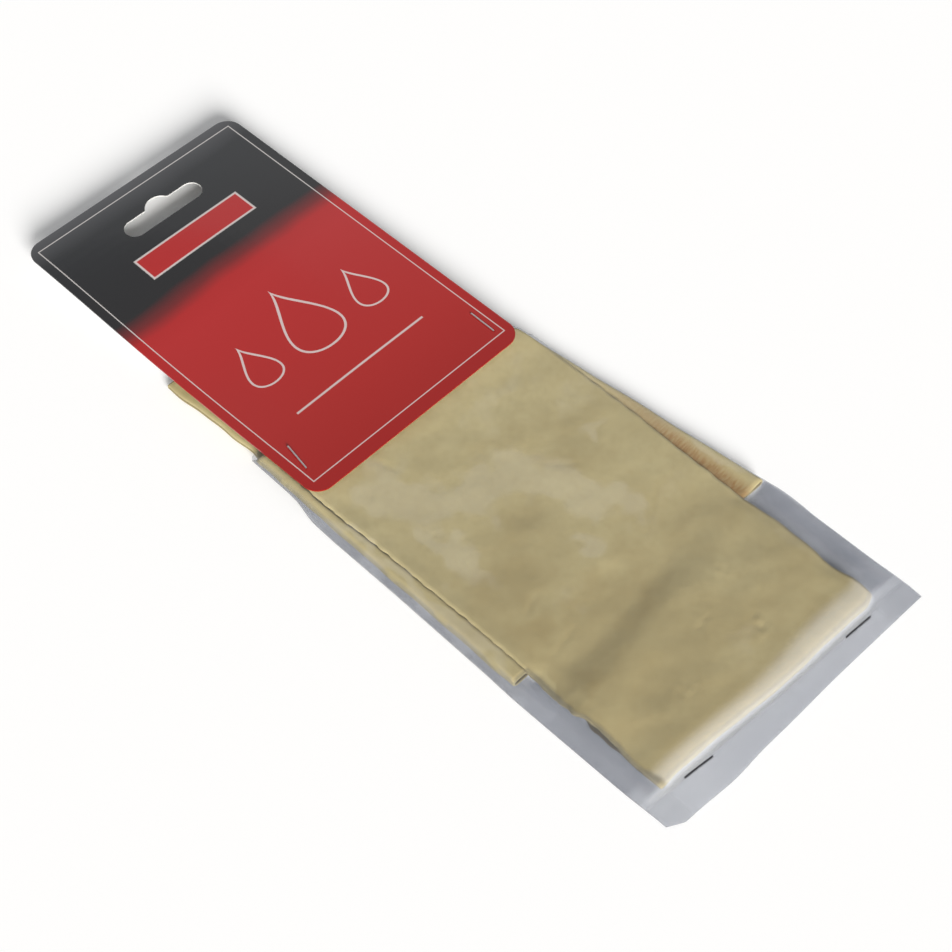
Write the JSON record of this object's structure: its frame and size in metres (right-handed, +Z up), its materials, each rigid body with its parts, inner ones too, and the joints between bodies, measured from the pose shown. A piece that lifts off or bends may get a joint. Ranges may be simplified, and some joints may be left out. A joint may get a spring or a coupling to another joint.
{
  "type": "chamois leather",
  "caption": "Chamois leather folded flat in a clear film sleeve, with a glossy hang card and euro slot stapled over the sleeve's open end.",
  "frame": {"origin": "on the surface the pack lies on, in the middle of its length and of the sleeve's width", "axes": "+X across the pack, +Y along it towards the hang slot, +Z up from the surface, the card's printed face upwards"},
  "size_m": [0.11, 0.29, 0.0086],
  "materials": {
    "chamois": "soft suede, yellowish beige, both faces napped",
    "film": "clear glossy film, slightly milky",
    "card": "glossy laminated print, charcoal above fading to red, thin white border line",
    "staple_wire": "bright galvanised wire"
  },
  "bodies": {
    "root": {"chamois_leather": "chamois", "clear_sleeve": "film", "header_card": "card", "card_staple_left": "staple_wire", "card_staple_right": "staple_wire", "sleeve_staple_left": "staple_wire", "sleeve_staple_right": "staple_wire"}
  },
  "joints": []
}
